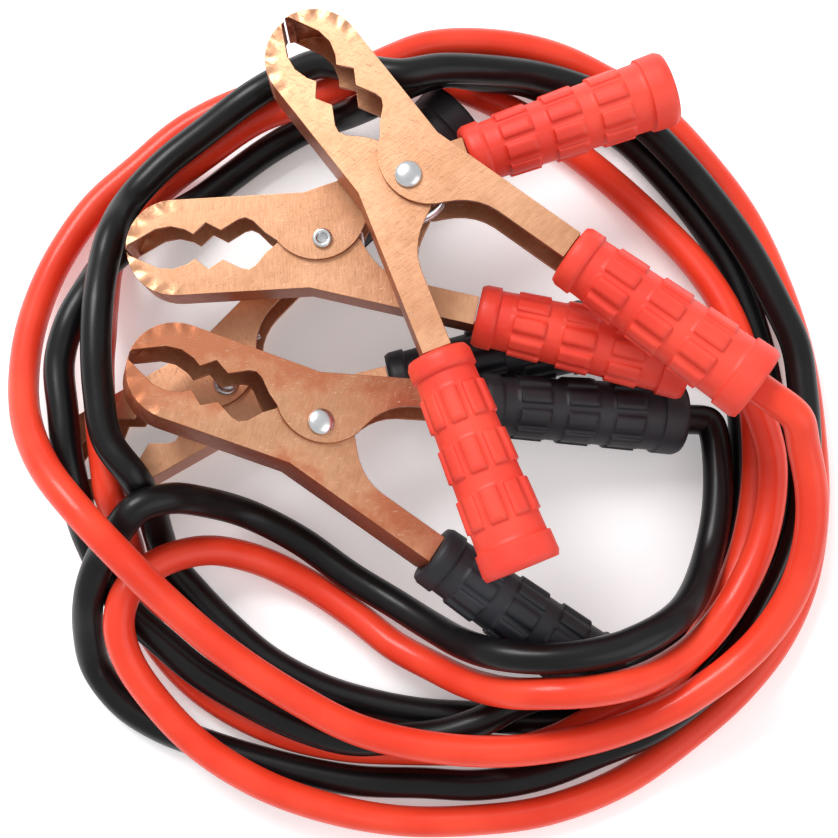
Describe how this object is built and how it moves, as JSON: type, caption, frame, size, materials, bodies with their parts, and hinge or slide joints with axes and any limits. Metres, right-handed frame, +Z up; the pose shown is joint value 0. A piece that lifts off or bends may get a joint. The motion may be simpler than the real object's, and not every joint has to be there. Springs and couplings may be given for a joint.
{
  "type": "car jumper cable",
  "caption": "Set of car jumper cables, a red and a black cable coiled in loose loops, with a copper-plated spring clamp on each cable end.",
  "frame": {"origin": "on the floor, under the middle of the box round the clamps (the cables are left out of that box)", "axes": "+Z up; the picture looks from above, slightly from -Y; +X is to its right"},
  "size_m": [0.2168, 0.2155, 0.062],
  "materials": {
    "copper_plated_steel": "copper-plated pressed steel, fine brushing, mottled and scratched",
    "zinc_plated_steel": "bright zinc plate",
    "red_grip": "matt moulded plastic",
    "black_grip": "soft satin rubbery plastic",
    "red_sheath": "smooth semi-gloss sheath",
    "black_sheath": "smooth glossy sheath"
  },
  "bodies": {
    "red_clamp_1_moving_half": {"red_clamp_1_inner_jaw": "copper_plated_steel", "red_clamp_1_inner_grip": "red_grip"},
    "red_clamp_2_moving_half": {"red_clamp_2_outer_jaw": "copper_plated_steel", "red_clamp_2_outer_grip": "red_grip"},
    "black_clamp_1_moving_half": {"black_clamp_1_inner_jaw": "copper_plated_steel", "black_clamp_1_inner_grip": "black_grip"},
    "black_clamp_2_moving_half": {"black_clamp_2_outer_jaw": "copper_plated_steel", "black_clamp_2_outer_grip": "black_grip"},
    "cables_and_fixed_halves": {"red_clamp_1_outer_jaw": "copper_plated_steel", "red_clamp_1_outer_grip": "red_grip", "red_clamp_1_spring": "zinc_plated_steel", "red_clamp_1_rivet": "zinc_plated_steel", "red_clamp_2_inner_jaw": "copper_plated_steel", "red_clamp_2_inner_grip": "red_grip", "red_clamp_2_spring": "zinc_plated_steel", "red_clamp_2_rivet": "zinc_plated_steel", "black_clamp_1_outer_jaw": "copper_plated_steel", "black_clamp_1_outer_grip": "black_grip", "black_clamp_1_spring": "zinc_plated_steel", "black_clamp_1_rivet": "zinc_plated_steel", "black_clamp_2_inner_jaw": "copper_plated_steel", "black_clamp_2_inner_grip": "black_grip", "black_clamp_2_spring": "zinc_plated_steel", "black_clamp_2_rivet": "zinc_plated_steel", "red_cable": "red_sheath", "black_cable": "black_sheath"}
  },
  "joints": [
    {"name": "red_clamp_1_rivet_hinge", "type": "hinge", "parent": "cables_and_fixed_halves", "child": "red_clamp_1_moving_half", "pos_m": [0.0016, 0.0428, 0.0517], "axis": [0, 0, 1], "range_deg": [0, 22], "stiffness_Nm_per_rad": 1.5, "springref_deg": -28.65},
    {"name": "red_clamp_2_rivet_hinge", "type": "hinge", "parent": "cables_and_fixed_halves", "child": "red_clamp_2_moving_half", "pos_m": [-0.02, 0.0327, 0.0319], "axis": [0.0031, -0.0522, 0.9986], "range_deg": [-22, 0], "stiffness_Nm_per_rad": 1.5, "springref_deg": 28.65},
    {"name": "black_clamp_1_rivet_hinge", "type": "hinge", "parent": "cables_and_fixed_halves", "child": "black_clamp_1_moving_half", "pos_m": [-0.0218, -0.0147, 0.0329], "axis": [0.2305, 0.0605, 0.9712], "range_deg": [0, 22], "stiffness_Nm_per_rad": 1.5, "springref_deg": -28.65},
    {"name": "black_clamp_2_rivet_hinge", "type": "hinge", "parent": "cables_and_fixed_halves", "child": "black_clamp_2_moving_half", "pos_m": [-0.0462, -0.0007, 0.0097], "axis": [-0.006, -0.0035, 1], "range_deg": [-22, 0], "stiffness_Nm_per_rad": 1.5, "springref_deg": 28.65}
  ]
}
